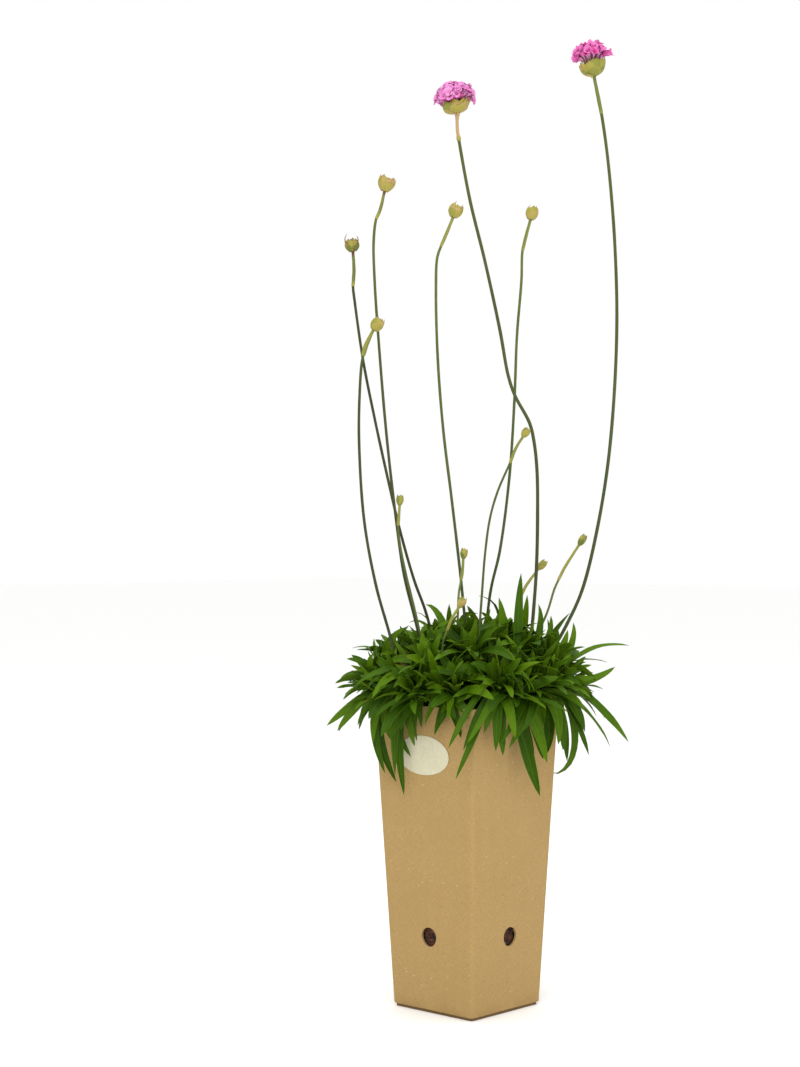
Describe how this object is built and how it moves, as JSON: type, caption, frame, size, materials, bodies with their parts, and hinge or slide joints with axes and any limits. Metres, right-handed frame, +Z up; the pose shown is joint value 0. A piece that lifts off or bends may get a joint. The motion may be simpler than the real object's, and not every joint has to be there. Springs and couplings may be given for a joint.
{
  "type": "potted armeria",
  "caption": "Sea thrift in a tall square kraft-board pot: clumped lance-shaped leaves, wiry stalks with papery buds and round pink flower heads.",
  "frame": {"origin": "middle of the pot's underside, on the surface that it stands on", "axes": "+Z up along the pot and the stalks, X and Y square to the pot's sides; the side with the label faces -Y"},
  "size_m": [0.1616, 0.1673, 0.6353],
  "materials": {
    "pot_board": "matt kraft board with fine fibres",
    "label_paper": "smooth cream paper",
    "soil": "rough moist peat",
    "leaf": "satin leaf, paler midrib",
    "stem": "smooth wiry stalk",
    "bract": "dry papery bracts",
    "petal": "soft matt petals",
    "young_bud": "satin bud scales"
  },
  "bodies": {
    "root": {"pot": "pot_board", "label": "label_paper", "soil": "soil", "rosette_01": "leaf", "rosette_02": "leaf", "rosette_03": "leaf", "rosette_04": "leaf", "rosette_05": "leaf", "rosette_06": "leaf", "rosette_07": "leaf", "rosette_08": "leaf", "rosette_09": "leaf", "rosette_10": "leaf", "rosette_11": "leaf", "rosette_12": "leaf", "rosette_13": "leaf", "rosette_14": "leaf", "rosette_15": "leaf", "stalk_01": "stem", "stalk_02": "stem", "stalk_03": "stem", "stalk_04": "stem", "stalk_05": "stem", "stalk_06": "stem", "stalk_07": "stem", "stalk_08": "stem", "stalk_09": "stem", "stalk_10": "stem", "stalk_11": "stem", "stalk_12": "stem", "stalk_13": "stem", "bloom_01": "bract", "bloom_02": "bract", "bud_03": "bract", "bud_04": "bract", "bud_05": "bract", "bud_06": "bract", "bud_07": "bract", "bud_08": "bract", "bud_09": "bract", "bud_10": "bract", "bud_11": "bract", "bud_12": "bract", "bud_13": "bract", "florets_01": "petal", "florets_02": "petal", "young_bud_01": "young_bud", "young_bud_02": "young_bud"}
  },
  "joints": []
}
